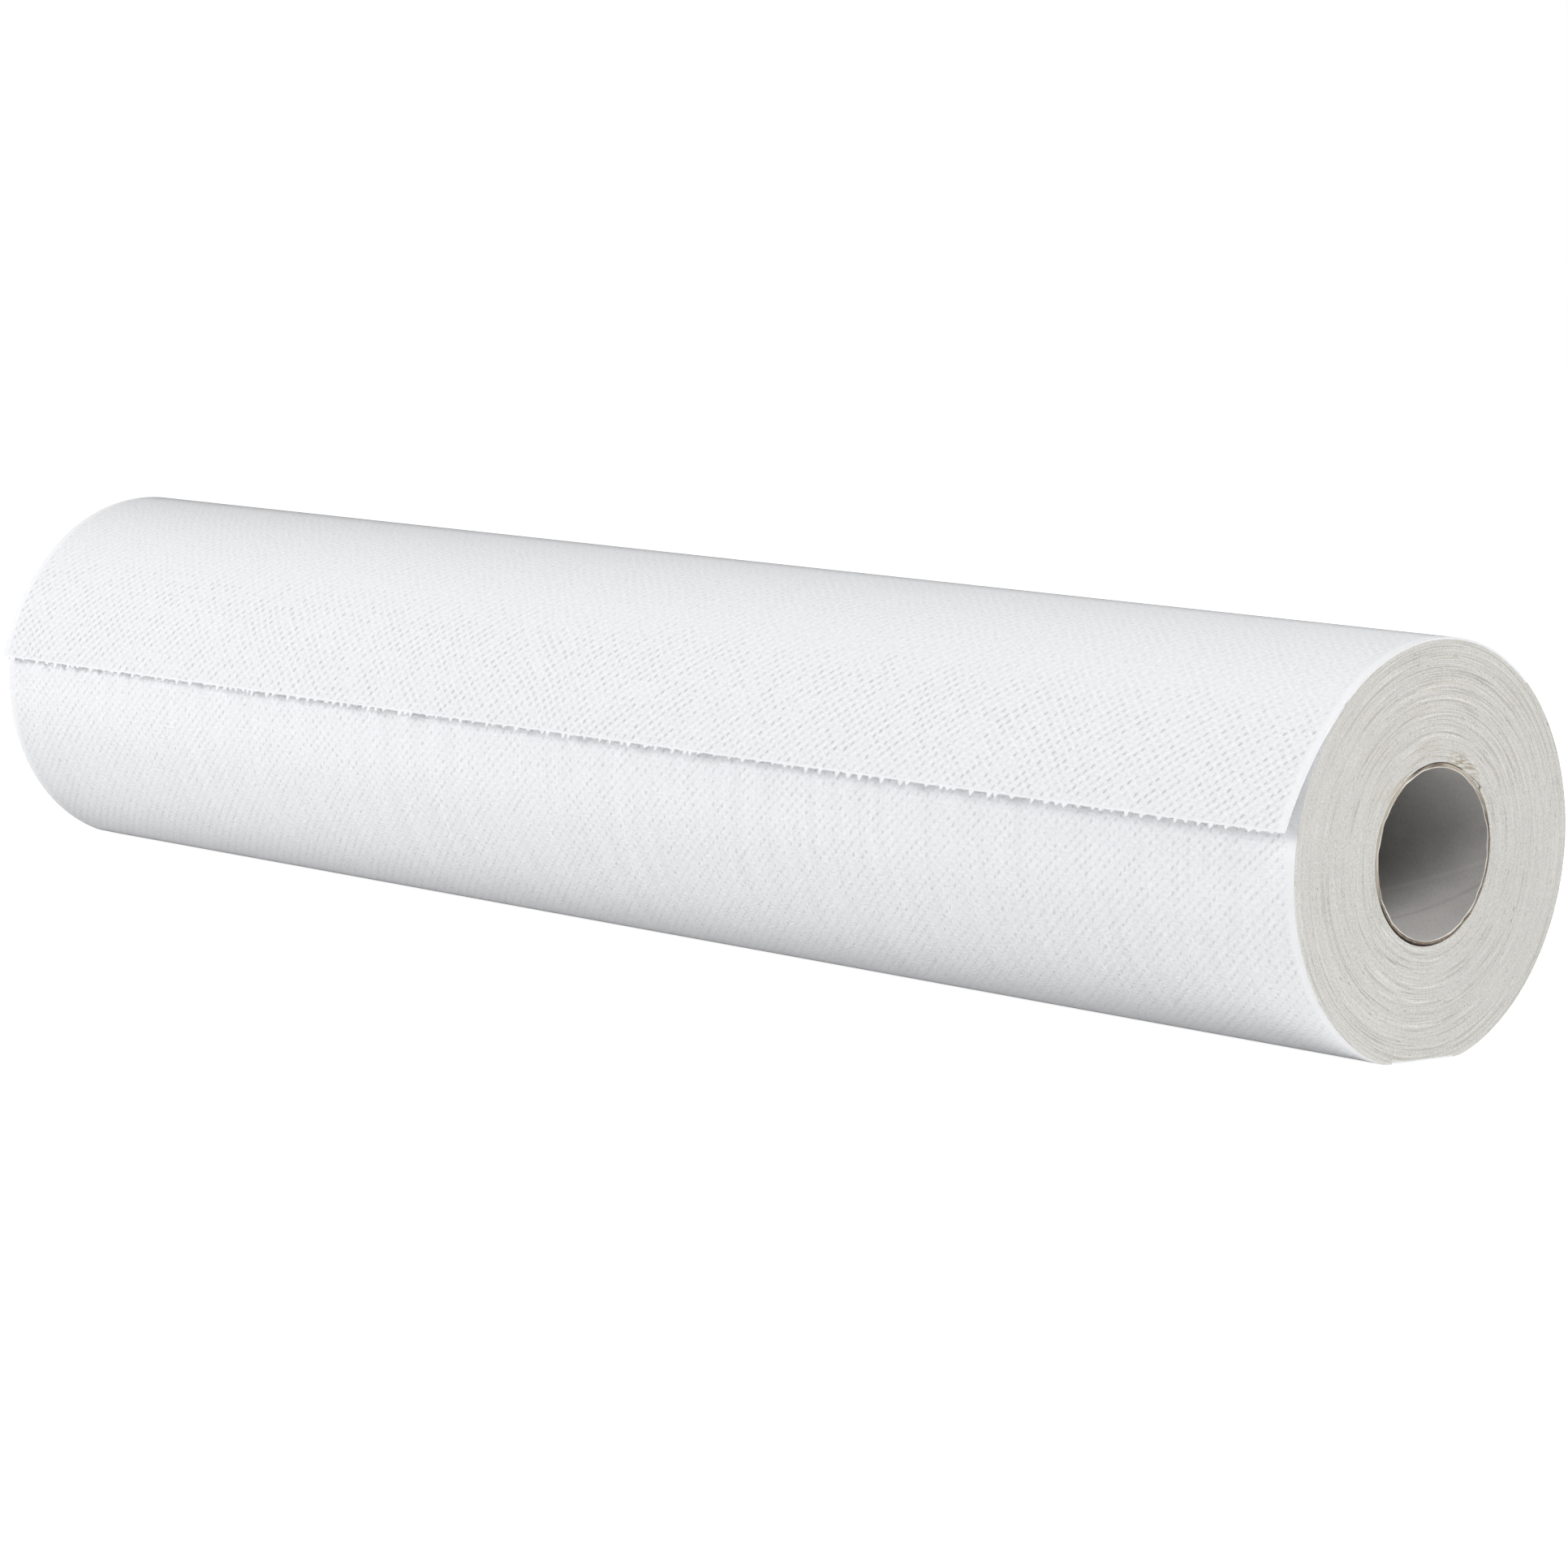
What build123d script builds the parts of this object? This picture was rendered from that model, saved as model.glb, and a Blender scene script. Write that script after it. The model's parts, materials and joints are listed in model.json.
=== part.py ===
from build123d import *

import math
import os

# Exam table paper roll: one long sheet of embossed two-ply paper wound on a cardboard core, with its
# torn end hanging loose at the front. Millimetres. The roll lies along X, with +Z up and the loose
# end towards -Y. The origin is on the core's axis, halfway along the roll.

# Roll
roll_length = 500.0  # the width of the sheet
roll_diameter = 105.0
sheet_thickness = 0.35  # two embossed plies
flat_width = 30.0  # the strip that the soft roll has settled on
flat_blend = 20.0  # radius where that strip runs into the round

# Core, wound from strips of board
bore_diameter = 42.0
core_wall = 1.1
glue_line = 0.05  # between the core and the first turn
strip_lead = 96.0  # how far the strips advance in one turn round the core
seam_width = 0.6  # gap between one turn of the inner strip and the next
seam_depth = 0.15

# Bundles of turns that show on the ends
bundle_pitch = 3.0
bundle_gap = 0.5
bundle_gap_depth = 0.35

# First edge of the sheet, folded over on the core
fold_height = 0.9
fold_run = 7.0
fold_angle = 42.0  # from +Y towards +Z

# Loose end
leave_angle = 133.5  # where it leaves the roll, from +Y towards +Z
loose_length_near = 37.3  # along the end at +X
loose_length_far = 38.7  # along the end at -X, because the sheet hangs a little askew
lift_near = 5.1  # how far the corner at +X stands off the roll
lift_far = 2.3

# Perforation that the loose end was torn along
bond_pitch = 4.2
bond_width = 1.2
stub_tip_width = 0.6
stub_length = 1.1  # the longest stub that tearing left
clean_break_share = 0.45  # a stub shorter than this share of the longest broke off clean
tear_beats = (2.4, 0.83)  # two uneven rhythms, in radians for each bond, that the tear followed

cut_overrun = 1.0  # how far a cutting tool runs past the faces it cuts

# Sizes that follow
roll_radius = roll_diameter / 2
bore_radius = bore_diameter / 2
core_radius = bore_radius + core_wall
first_turn_radius = core_radius + glue_line
ply_thickness = sheet_thickness / 2
rest_height = math.sqrt(roll_radius**2 - (flat_width / 2) ** 2)

along = Vector(1, 0, 0)


def radial(angle):
    # Unit direction at an angle in degrees, from +Y towards +Z
    return Vector(0, math.cos(math.radians(angle)), math.sin(math.radians(angle)))


def arc(centre, radius, start, sweep):
    points = [centre + radial(start + sweep * share) * radius for share in (0, 0.5, 1)]
    return ThreePointArc(*points)


leave = radial(leave_angle)


def last_turn():
    # The roll's outline winds in by one sheet over a turn: two half circles with centres half a
    # sheet apart, and the step where the sheet's outer end leaves.
    outer = arc(Vector(), roll_radius, leave_angle, -180)
    inner = arc(leave * (-sheet_thickness / 2), roll_radius - sheet_thickness / 2, leave_angle - 180, -180)
    return make_face([outer, inner, Line(inner @ 1, outer @ 0)])


def settled_strip():
    # What the roll's own weight has pressed flat along its underside
    side = 2 * roll_radius
    return Plane.YZ * Pos(0, -rest_height - side / 2) * Rectangle(side, side)


def first_edge_gap():
    # The wedge of air beside the folded first edge, under the turn that climbs over it
    sweep = math.degrees(fold_run / first_turn_radius)
    tall = radial(fold_angle)
    low = radial(fold_angle + sweep)
    corners = [
        tall * (first_turn_radius + fold_height),
        low * first_turn_radius,
        low * core_radius,
        tall * core_radius,
    ]
    return make_face(Polyline(*corners, close=True))


def wound_turns():
    section = last_turn() - settled_strip()
    section = fillet(section.vertices().group_by(Axis.Z)[0], flat_blend)
    section -= Plane.YZ * Circle(first_turn_radius)
    section -= first_edge_gap()
    return extrude(section, amount=roll_length / 2, dir=along, both=True)


def bundle_gaps(end):
    # The spiral line between bundles of turns on one end (+1 or -1) of the roll: half turns about two
    # centres, each ending where the next one starts.
    first_radius = rest_height - bundle_pitch / 2
    last_radius = first_turn_radius + fold_height + bundle_pitch / 2
    count = int((first_radius - last_radius) / (bundle_pitch / 2))
    face_x = end * roll_length / 2
    floor_x = face_x - end * bundle_gap_depth
    outside_x = face_x + end * cut_overrun
    tools = []
    for half in range(count):
        radius = first_radius - half * bundle_pitch / 2
        odd = half % 2
        centre = leave * (-odd * bundle_pitch / 2)
        start = -leave if odd else leave
        inside = radius - bundle_gap / 2
        outside = radius + bundle_gap / 2
        gap = Polyline(
            (inside, outside_x),
            (inside, face_x),
            (radius, floor_x),
            (outside, face_x),
            (outside, outside_x),
            close=True,
        )
        plane = Plane(origin=centre, x_dir=start, z_dir=start.cross(along))
        tools.append(revolve(plane * make_face(gap), axis=Axis(centre, -along), revolution_arc=180))
    return tools


def loose_section(x, length, lift):
    # The loose end's section at x: it leaves the roll along its tangent, on a wider arc. Gives the
    # section, the middle of its torn edge, and the way the sheet was heading there.
    outer_radius = 1 / (1 / roll_radius - 2 * lift / length**2)
    inner_radius = outer_radius - sheet_thickness
    centre = along * x - leave * (outer_radius - roll_radius)
    sweep = math.degrees(length / outer_radius)
    outer = arc(centre, outer_radius, leave_angle, sweep)
    inner = arc(centre, inner_radius, leave_angle, sweep)
    section = make_face([outer, inner, Line(outer @ 0, inner @ 0), Line(outer @ 1, inner @ 1)])
    return section, (outer @ 1 + inner @ 1) / 2, radial(leave_angle + sweep + 90)


def stub_share(bond):
    # How much of the longest stub one bond kept: it wanders along the tear and never repeats
    return abs(sum(math.sin(beat * bond) for beat in tear_beats)) / len(tear_beats)


def torn_stubs(far, near, heading):
    # Each bond tore in its weaker ply, and left a tapered stub of the other on the sheet's edge
    across = (near - far).normalized()
    outward = (heading - across * heading.dot(across)).normalized()
    plane = Plane(origin=(far + near) / 2, x_dir=across, z_dir=across.cross(outward))
    count = int((near - far).length / bond_pitch)
    stubs = []
    for bond in range(count):
        share = stub_share(bond)
        if share < clean_break_share:
            continue
        middle = (bond - (count - 1) / 2) * bond_pitch
        tip = stub_length * share
        stub = Polyline(
            (middle - bond_width / 2, -ply_thickness),
            (middle - stub_tip_width / 2, tip),
            (middle + stub_tip_width / 2, tip),
            (middle + bond_width / 2, -ply_thickness),
            close=True,
        )
        stubs.append(extrude(plane * make_face(stub), amount=ply_thickness / 2, both=True))
    return stubs


def loose_end():
    far, far_edge, far_heading = loose_section(-roll_length / 2, loose_length_far, lift_far)
    near, near_edge, near_heading = loose_section(roll_length / 2, loose_length_near, lift_near)
    sheet = loft([far, near], ruled=True)
    return sheet + torn_stubs(far_edge, near_edge, far_heading + near_heading)


def paper_roll():
    # Every turn of the sheet, from the folded first edge on the core to the torn loose end
    return wound_turns() + loose_end() - bundle_gaps(1) - bundle_gaps(-1)


def core_tube():
    # Strips of board glued up in a spiral, with the seam of the inner strip showing in the bore
    wall = extrude(Plane.YZ * (Circle(core_radius) - Circle(bore_radius)), amount=roll_length / 2, both=True)
    seam_length = roll_length + 2 * cut_overrun
    path = Helix(strip_lead, seam_length, bore_radius, center=(-seam_length / 2, 0, 0), direction=along)
    start = path @ 0
    inward = Vector(0, -start.Y, -start.Z).normalized()
    groove = Plane(origin=start, x_dir=-inward, z_dir=path % 0)
    half = seam_width / 2
    seam = Polyline(
        (-seam_depth, -half),
        (0, -half),
        (seam_depth, 0),
        (0, half),
        (-seam_depth, half),
        close=True,
    )
    return wall - sweep(groove * make_face(seam), path=path, is_frenet=True)


os.makedirs("parts", exist_ok=True)
export_step(paper_roll(), "parts/paper_roll.step")
export_step(core_tube(), "parts/core_tube.step")
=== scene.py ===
import json
import math
import random

import bmesh
import bpy
import numpy as np
from mathutils import Matrix, Vector


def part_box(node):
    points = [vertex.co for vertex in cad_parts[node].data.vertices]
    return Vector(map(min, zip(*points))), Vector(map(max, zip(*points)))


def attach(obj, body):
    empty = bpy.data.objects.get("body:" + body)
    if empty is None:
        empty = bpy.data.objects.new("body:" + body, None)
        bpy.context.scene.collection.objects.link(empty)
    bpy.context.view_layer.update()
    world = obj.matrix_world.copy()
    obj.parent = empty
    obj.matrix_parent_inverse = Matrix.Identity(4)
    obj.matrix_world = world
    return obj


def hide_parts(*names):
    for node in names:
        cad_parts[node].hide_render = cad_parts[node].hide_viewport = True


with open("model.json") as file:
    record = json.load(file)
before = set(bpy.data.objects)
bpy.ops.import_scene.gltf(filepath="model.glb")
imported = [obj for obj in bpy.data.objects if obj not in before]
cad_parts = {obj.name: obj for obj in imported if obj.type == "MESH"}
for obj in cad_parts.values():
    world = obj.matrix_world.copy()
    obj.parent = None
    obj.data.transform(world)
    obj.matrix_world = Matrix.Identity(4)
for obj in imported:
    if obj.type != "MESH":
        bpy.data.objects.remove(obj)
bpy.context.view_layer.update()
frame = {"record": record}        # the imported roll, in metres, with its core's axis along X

rollLow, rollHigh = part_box("paper_roll")
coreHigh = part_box("core_tube")[1]
mm = 0.001
mergeDistance = 0.01 * mm
halfLength = rollHigh.x
coreRadius = coreHigh.z
boreRadius = frame["record"]["mounts"][0]["dims"]["r_mm"] * mm


# Editing helpers

def startFresh():
    if bpy.context.object and bpy.context.object.mode == "EDIT":
        bpy.ops.object.mode_set(mode="OBJECT")
    bpy.ops.object.select_all(action="DESELECT")


def takePiece(name):
    piece = bpy.context.object
    piece.name = name
    piece.data.name = name
    return piece


def pickEdges(piece, wanted):
    # leaves selected only the edges that the test wants, in edit mode
    bpy.ops.mesh.select_mode(type="EDGE")
    mesh = bmesh.from_edit_mesh(piece.data)
    for face in mesh.faces:
        face.select = False
    for edge in mesh.edges:
        edge.select = False
    for vert in mesh.verts:
        vert.select = False
    for edge in mesh.edges:
        if wanted(edge):
            edge.select = True
    mesh.select_flush_mode()
    bmesh.update_edit_mesh(piece.data)


def joinInto(main, extra):
    startFresh()
    extra.select_set(True)
    main.select_set(True)
    bpy.context.view_layer.objects.active = main
    bpy.ops.object.join()
    return main


# The sheet as it lies on the roll

roll = {
    "radius": 52.5 * mm,
    "sheet": 0.35 * mm,
    "leaveAngle": 133.5,  # degrees from +Y up, where the loose end leaves
    "looseNear": 36.7 * mm,  # length of the loose end at the near end, up to the torn fibres
    "looseFar": 38.5 * mm,
    "liftNear": 5.1 * mm,
    "liftFar": 2.3 * mm,
    "flatSoftness": 0.5 * mm,  # how gently the flat strip runs into the round
    "around": 288,
    "along": 100,
    "endMargin": 3 * mm,
    "looseRows": 26,
    "endRound": 0.5 * mm,  # how far in the outer turn's cut edge starts to round off
    "endDrop": 0.12 * mm,
    "glueLine": 0.05 * mm,  # between the core and the first turn
    "ripple": 0.10 * mm,
    "sheetRipple": 0.25 * mm,
}
firstTurnRadius = coreRadius + roll["glueLine"]


def direction(angle):
    return Vector((0, math.cos(math.radians(angle)), math.sin(math.radians(angle))))


def settled(point):
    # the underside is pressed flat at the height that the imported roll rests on
    soft = roll["flatSoftness"]
    below = -point.z + rollLow.z
    if below >= -6 * soft:
        point.z = rollLow.z + soft * math.log1p(math.exp(-below / soft))
    else:
        point.z = rollLow.z - below
    return point


def waver(angle, x, seed):
    # slow unevenness round and along the roll, from -1 to 1
    a = math.radians(angle)
    return (
        0.4 * math.sin(2 * a + 9 * x + seed)
        + 0.35 * math.sin(3 * a - 14 * x + 2.1 * seed)
        + 0.25 * math.sin(5 * a + 31 * x + 0.7 * seed)
    )


def bodyPoint(turned, x):
    # turned counts degrees from the leave line, back over the top: one turn ends one sheet lower
    radius = roll["radius"] - roll["sheet"] * turned / 360
    radius += roll["ripple"] * waver(turned, x, 1.3) * math.sin(math.radians(turned) / 2) ** 2
    if abs(x) > halfLength - roll["endRound"] / 2:
        radius -= roll["endDrop"] * math.sin(math.radians(turned) / 2)
    point = direction(roll["leaveAngle"] - turned) * radius
    point = settled(point)
    point.x = x
    return point


def looseArc(share, lift, length, depth):
    # a point of the loose end's section, on a wider arc than the roll's and tangent to it
    outerRadius = 1 / (1 / roll["radius"] - 2 * lift / length**2)
    centre = -direction(roll["leaveAngle"]) * (outerRadius - roll["radius"])
    angle = roll["leaveAngle"] + math.degrees(share * length / outerRadius)
    return centre + direction(angle) * (outerRadius - depth)


def loosePoint(share, x, depth):
    near = looseArc(share, roll["liftNear"], roll["looseNear"], depth)
    far = looseArc(share, roll["liftFar"], roll["looseFar"], depth)
    point = far.lerp(near, x / (2 * halfLength) + 0.5)
    out = Vector((0, point.y, point.z)).normalized()
    point += out * roll["sheetRipple"] * share**2 * (math.sin(41 * x + 1) + 0.6 * math.sin(97 * x)) / 1.6
    point.x = x
    return point


def looseLength(x):
    return roll["looseFar"] + (roll["looseNear"] - roll["looseFar"]) * (x / (2 * halfLength) + 0.5)


# Every vertex of the profile keeps its station: 0 to around on the body, then down the inside of the
# loose end and back up its outside.
around = roll["around"]
looseRows = roll["looseRows"]
stations = around + 1 + 2 * looseRows


def stationPoint(station, x):
    if station <= around:
        return bodyPoint(360 * station / around, x)
    row = station - around
    if row <= looseRows:
        return loosePoint(row / looseRows, x, roll["sheet"])
    return loosePoint((2 * looseRows + 1 - row) / looseRows, x, 0)


def stationRun(station):
    # distance along the sheet from the torn edge
    loose = (roll["looseNear"] + roll["looseFar"]) / 2
    if station <= around:
        return loose + math.tau * roll["radius"] * station / around
    row = station - around
    if row <= looseRows:
        return loose * (1 - row / looseRows)
    return loose * (1 - (2 * looseRows + 1 - row) / looseRows)


print("shaping the roll")
startFresh()
bpy.ops.mesh.primitive_circle_add(vertices=stations, radius=roll["radius"])
paper = takePiece("paper_sheet")
stationOf = paper.data.attributes.new("station", "FLOAT", "POINT")
for vert in paper.data.vertices:
    vert.co = stationPoint(vert.index, -halfLength)
    stationOf.data[vert.index].value = vert.index
middle = halfLength - roll["endMargin"]
shoulder = halfLength - roll["endRound"]
lengthwise = [-halfLength, -shoulder, *np.linspace(-middle, middle, roll["along"]), shoulder, halfLength]
bpy.ops.object.mode_set(mode="EDIT")
bpy.ops.mesh.select_mode(type="EDGE")
bpy.ops.mesh.select_all(action="SELECT")
for here, there in zip(lengthwise, lengthwise[1:]):
    bpy.ops.mesh.extrude_region_move(TRANSFORM_OT_translate={"value": (there - here, 0, 0)})


def onEnd(edge, x):
    return all(abs(vert.co.x - x) < mergeDistance for vert in edge.verts)


def stationsOf(edge):
    layer = bmesh.from_edit_mesh(paper.data).verts.layers.float["station"]
    return sorted(round(vert[layer]) for vert in edge.verts)


print("closing the loose end's sides")
tipStation = around + looseRows
for x in (-halfLength, halfLength):
    pickEdges(
        paper,
        lambda edge: onEnd(edge, x)
        and (stationsOf(edge) == [0, stations - 1] or stationsOf(edge)[0] >= around)
        and stationsOf(edge) != [tipStation, tipStation + 1],
    )
    bpy.ops.mesh.bridge_edge_loops()
mesh = bmesh.from_edit_mesh(paper.data)
layer = mesh.verts.layers.float["station"]
for vert in mesh.verts:
    vert.co = stationPoint(round(vert[layer]), vert.co.x)
bmesh.update_edit_mesh(paper.data)


# The wound ends

wound = {
    "rings": 58,
    "telescope": 0.07 * mm,  # how unevenly the edges of the turns lie
    "bundle": 0.05 * mm,
    "waver": 0.25 * mm,
    "coreGap": 0.25 * mm,  # how far the first turn stands off the core in places
    "foldStart": 42.0,
    "foldSweep": 17.3,
    "foldHeight": 0.9 * mm,
    "creaseStart": 44.0,
    "creaseSweep": 42.0,
    "creaseReach": 4.0 * mm,
    "creaseDepth": 0.28 * mm,
}
dice = random.Random(7)
tuck = [0.0]
for ring in range(1, wound["rings"] + 1):
    tuck.append(wound["telescope"] * dice.uniform(0, 2) + wound["bundle"] * (1 + math.sin(ring * 1.7)))


def pocket(angle):
    # gap beside the folded first edge, from its full height down to none
    share = (angle - wound["foldStart"]) % 360 / wound["foldSweep"]
    return wound["foldHeight"] * (1 - share) if share < 1 else 0


def firstTurn(angle):
    gap = wound["coreGap"] * math.sin(math.radians(angle + 30)) ** 4
    return firstTurnRadius + gap + pocket(angle)


def crumple(angle, radius):
    # creases of the folded first edge, as depth behind the end
    along = (angle - wound["creaseStart"]) % 360 / wound["creaseSweep"]
    out = (radius - firstTurnRadius) / wound["creaseReach"]
    if along > 1 or out > 1:
        return 0
    fall = math.sin(math.pi * along) * (1 - max(0, out)) ** 0.7
    folds = 1 + math.sin(31 * along + 8 * out) + 0.6 * math.sin(53 * along - 11 * out)
    return wound["creaseDepth"] * fall * folds


def ringPoint(ring, station, x, end):
    turned = 360 * station / around
    angle = roll["leaveAngle"] - turned
    rim = bodyPoint(turned, x)
    outer = math.hypot(rim.y, rim.z)
    share = ring / wound["rings"]
    radius = outer + (firstTurn(angle) - outer) * share
    radius += wound["waver"] * waver(3 * angle, x, ring * 0.11) * math.sin(math.pi * share)
    point = direction(angle) * radius
    lie = tuck[ring] + 0.5 * wound["telescope"] * waver(angle, x, ring * 0.9) + crumple(angle, radius)
    point.x = x - end * max(0, lie)
    return point


print("winding the ends")
for end in (-1, 1):
    x = end * halfLength
    pickEdges(paper, lambda edge: onEnd(edge, x) and stationsOf(edge)[-1] <= around)
    for ring in range(1, wound["rings"] + 1):
        bpy.ops.mesh.extrude_region_move(TRANSFORM_OT_translate={"value": (0, 0, 0)})
        mesh = bmesh.from_edit_mesh(paper.data)
        layer = mesh.verts.layers.float["station"]
        for vert in mesh.verts:
            if vert.select:
                vert.co = ringPoint(ring, round(vert[layer]), x, end)
    bmesh.update_edit_mesh(paper.data)
    if end < 0:
        bpy.ops.object.vertex_group_add()
        bpy.ops.object.vertex_group_assign()
bpy.ops.object.vertex_group_select()
bpy.ops.mesh.bridge_edge_loops()
bpy.ops.mesh.select_all(action="SELECT")
bpy.ops.mesh.remove_doubles(threshold=mergeDistance)
bpy.ops.mesh.normals_make_consistent(inside=False)
bpy.ops.object.mode_set(mode="OBJECT")
paper.vertex_groups.clear()


# The first edge, doubled back in the pocket beside the core

fold = {
    "startAngle": 64.0,
    "bendAngle": 43.0,
    "leafStep": 3.0,  # degrees between the points of the inner leaf
    "leafPoints": 5,
    "bendSweep": 1.5,
    "thick": 0.26 * mm,
    "clear": 0.04 * mm,  # how far it stays off the core and off the turn above
    "short": 0.1 * mm,  # how far it stops behind the ends
    "cuts": 40,
}


def foldPath():
    # points (angle, radius) from the inner leaf round the bend and back
    lower = firstTurnRadius + fold["clear"] + fold["thick"] / 2
    upper = lower + fold["thick"] * 1.3
    leaf = lower - 0.3 * fold["thick"]
    path = [(fold["startAngle"] - step * fold["leafStep"], leaf) for step in range(fold["leafPoints"])]
    bend, beside = fold["bendAngle"], fold["bendAngle"] + fold["bendSweep"]
    path += [(beside, lower), (bend, (lower + upper) / 2), (beside, upper)]
    path += [(bend + 4, upper - 0.1 * fold["thick"]), (bend + 7, upper - 0.5 * fold["thick"])]
    return path


print("folding the first edge")
path = foldPath()
startFresh()
bpy.ops.mesh.primitive_grid_add(x_subdivisions=fold["cuts"], y_subdivisions=len(path) - 1, size=1)
edge = takePiece("first_edge")
edge.data.attributes.new("station", "FLOAT", "POINT")
for vert in edge.data.vertices:
    angle, radius = path[round((vert.co.y + 0.5) * (len(path) - 1))]
    x = 2 * vert.co.x * (halfLength - fold["short"])
    vert.co = direction(angle + 0.5 * math.sin(60 * x)) * radius
    vert.co.x = x
thicken = edge.modifiers.new("thickness", "SOLIDIFY")
thicken.thickness = fold["thick"]
thicken.offset = 0
bpy.ops.object.modifier_apply(modifier="thickness")
joinInto(paper, edge)


# The torn edge

torn = {
    "step": 0.3 * mm,
    "tucked": 1.6 * mm,  # how far it reaches back into the sheet
    "shy": 0.2 * mm,  # how far the fibres start short of the perforation
    "sheetShare": 0.8,
    "fuzz": 0.16 * mm,
    "stubEvery": (2.0 * mm, 7.0 * mm),
    "stubLength": (0.7 * mm, 1.8 * mm),
    "stubWidth": 1.35 * mm,
}


def tearProfile(count):
    # how far each place of the edge reaches past the perforation
    reach = [abs(dice.gauss(0, torn["fuzz"])) for _ in range(count + 1)]
    x = 0.0
    width = 2 * halfLength
    while True:
        x += dice.uniform(*torn["stubEvery"])
        if x > width - torn["stubWidth"]:
            return reach
        length = dice.uniform(*torn["stubLength"])
        half = torn["stubWidth"] * dice.uniform(0.35, 0.6)
        for column in range(count + 1):
            away = abs(column * width / count - x)
            if away < half:
                reach[column] = max(reach[column], length * (1 - 0.6 * away / half))


print("tearing the edge")
columns = int(2 * halfLength / torn["step"])
reach = tearProfile(columns)
startFresh()
bpy.ops.mesh.primitive_grid_add(x_subdivisions=columns, y_subdivisions=2, size=1)
strip = takePiece("torn_edge")
stripStation = strip.data.attributes.new("station", "FLOAT", "POINT")
for vert in strip.data.vertices:
    column = round((vert.co.x + 0.5) * columns)
    row = round((vert.co.y + 0.5) * 2)
    x = (2 * column / columns - 1) * halfLength
    run = (-torn["tucked"], -torn["shy"], reach[column])[row]
    vert.co = loosePoint(1 + run / looseLength(x), x, roll["sheet"] / 2)
    stripStation.data[vert.index].value = tipStation
thicken = strip.modifiers.new("thickness", "SOLIDIFY")
thicken.thickness = roll["sheet"] * torn["sheetShare"]
thicken.offset = 0
bpy.ops.object.modifier_apply(modifier="thickness")
joinInto(paper, strip)

runOf = paper.data.attributes.new("sheetRun", "FLOAT", "POINT")
stationOf = paper.data.attributes["station"]
for vert in paper.data.vertices:
    runOf.data[vert.index].value = stationRun(round(stationOf.data[vert.index].value))
paper.data.attributes.remove(paper.data.attributes["station"])
print(len(paper.data.vertices), "vertices", len(paper.data.polygons), "faces")


# The core

core = {
    "around": 192,
    "boreStops": 12,
    "ragged": 0.18 * mm,
}
wall = coreRadius - boreRadius
# shares of the wall from the outside in, and how many mm each ply's edge lies behind the end
rimShares = (
    (0.0, 0.3),
    (0.05, 0.08),
    (0.3, 0.02),
    (0.5, 0.1),
    (0.64, 0.02),
    (0.72, 0.12),
    (0.8, 0),
    (0.94, 0),
    (1.0, 0.1),
)

print("winding the core")
profile = []
for end in (1, -1):
    rim = [(end * (halfLength - behind * mm), coreRadius - wall * share) for share, behind in rimShares]
    profile += rim if end > 0 else rim[::-1]
    if end > 0:
        stops = core["boreStops"]
        profile += [(halfLength * (1 - 2 * stop / stops), boreRadius) for stop in range(1, stops)]
startFresh()
bpy.ops.mesh.primitive_circle_add(vertices=len(profile), radius=coreRadius)
tube = takePiece("board_core")
for vert in tube.data.vertices:
    x, radius = profile[vert.index]
    vert.co = Vector((x, 0, radius))
bpy.ops.object.mode_set(mode="EDIT")
bpy.ops.mesh.select_all(action="SELECT")
bpy.ops.mesh.spin(steps=core["around"], angle=math.tau, center=(0, 0, 0), axis=(1, 0, 0))
bpy.ops.mesh.select_all(action="SELECT")
bpy.ops.mesh.remove_doubles(threshold=mergeDistance)
bpy.ops.mesh.normals_make_consistent(inside=False)
bpy.ops.object.mode_set(mode="OBJECT")
for vert in tube.data.vertices:
    nearEnd = abs(vert.co.x) > halfLength - mm
    if nearEnd:
        angle = math.degrees(math.atan2(vert.co.z, vert.co.y))
        vert.co.x += core["ragged"] * waver(7 * angle, vert.co.x, vert.co.yz.length / mm)
print(len(tube.data.vertices), "vertices in the core")


# Shading helpers

def addNode(tree, kind, settings, inputs):
    node = tree.nodes.new("ShaderNode" + kind)
    for name, value in settings.items():
        setattr(node, name, value)
    for name, value in inputs.items():
        if isinstance(value, bpy.types.NodeSocket):
            tree.links.new(value, node.inputs[name])
        else:
            node.inputs[name].default_value = value
    return node


def maths(tree, operation, *values):
    return addNode(tree, "Math", {"operation": operation}, dict(enumerate(values))).outputs[0]


def remap(tree, value, low, high, toLow=0.0, toHigh=1.0):
    inputs = {"Value": value, "From Min": low, "From Max": high, "To Min": toLow, "To Max": toHigh}
    return addNode(tree, "MapRange", {"interpolation_type": "SMOOTHSTEP"}, inputs).outputs[0]


def blendColour(tree, share, first, second):
    inputs = {"Factor": share, 6: first, 7: second}
    return addNode(tree, "Mix", {"data_type": "RGBA"}, inputs).outputs[2]


def noise(tree, vector, scale, detail=2.0, roughness=0.5):
    inputs = {"Vector": vector, "Scale": scale, "Detail": detail, "Roughness": roughness}
    return addNode(tree, "TexNoise", {}, inputs).outputs[0]


def makeGroup(name, inputs, outputs):
    # each input is (name, kind, default) and each output is (name, kind)
    tree = bpy.data.node_groups.new(name, "ShaderNodeTree")
    for label, kind, default in inputs:
        socket = tree.interface.new_socket(label, in_out="INPUT", socket_type="NodeSocket" + kind)
        if default is not None:
            socket.default_value = default
    for label, kind in outputs:
        tree.interface.new_socket(label, in_out="OUTPUT", socket_type="NodeSocket" + kind)
    source = tree.nodes.new("NodeGroupInput").outputs
    return tree, source, tree.nodes.new("NodeGroupOutput")


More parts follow.
